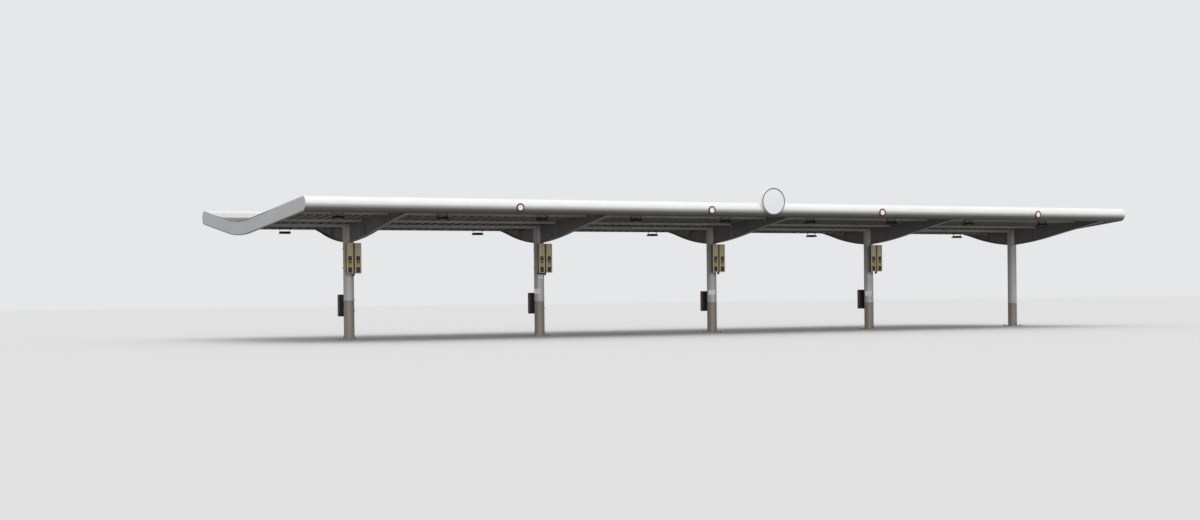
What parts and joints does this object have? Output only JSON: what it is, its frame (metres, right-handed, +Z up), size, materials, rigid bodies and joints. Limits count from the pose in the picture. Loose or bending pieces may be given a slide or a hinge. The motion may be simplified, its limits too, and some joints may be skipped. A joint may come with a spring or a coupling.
{
  "type": "filling station canopy",
  "caption": "Forecourt canopy on a row of round columns: curved plate girder arms, ribbed butterfly roof with a valley gutter, bullnose fascia, floodlights and lane signals.",
  "frame": {"origin": "centre of the middle column's foot, on the underside of its base plate", "axes": "+X along the row of columns, with the drawn front towards -Y, and +Z up"},
  "size_m": [38.75, 12.9202, 5.9198],
  "materials": {
    "column_paint": "satin paint",
    "arm_paint": "satin paint",
    "beam_paint": "satin paint",
    "deck_coating": "coated profiled sheet",
    "gutter_steel": "galvanised",
    "cladding": "white satin coating",
    "lamp_housing": "cast and coated",
    "signal_case": "moulded case",
    "service_case": "moulded case",
    "sign_face": "bare white face"
  },
  "bodies": {
    "root": {"column_1": "column_paint", "column_2": "column_paint", "column_3": "column_paint", "column_4": "column_paint", "column_5": "column_paint", "front_arm_1": "arm_paint", "rear_arm_1": "arm_paint", "front_arm_2": "arm_paint", "rear_arm_2": "arm_paint", "front_arm_3": "arm_paint", "rear_arm_3": "arm_paint", "front_arm_4": "arm_paint", "rear_arm_4": "arm_paint", "front_arm_5": "arm_paint", "rear_arm_5": "arm_paint", "spine_beam": "beam_paint", "front_purlins": "beam_paint", "rear_purlins": "beam_paint", "front_eaves_beam": "beam_paint", "rear_eaves_beam": "beam_paint", "front_nose_formers": "beam_paint", "rear_nose_formers": "beam_paint", "front_deck": "deck_coating", "rear_deck": "deck_coating", "valley_gutter": "gutter_steel", "front_fascia": "cladding", "rear_fascia": "cladding", "left_end_fascia": "cladding", "right_end_fascia": "cladding", "front_floodlights": "lamp_housing", "rear_floodlights": "lamp_housing", "valley_floodlights": "lamp_housing", "lane_signal_1": "signal_case", "service_box_1": "service_case", "lane_signal_2": "signal_case", "service_box_2": "service_case", "lane_signal_3": "signal_case", "service_box_3": "service_case", "lane_signal_4": "signal_case", "service_box_4": "service_case", "round_sign": "sign_face"}
  },
  "joints": []
}
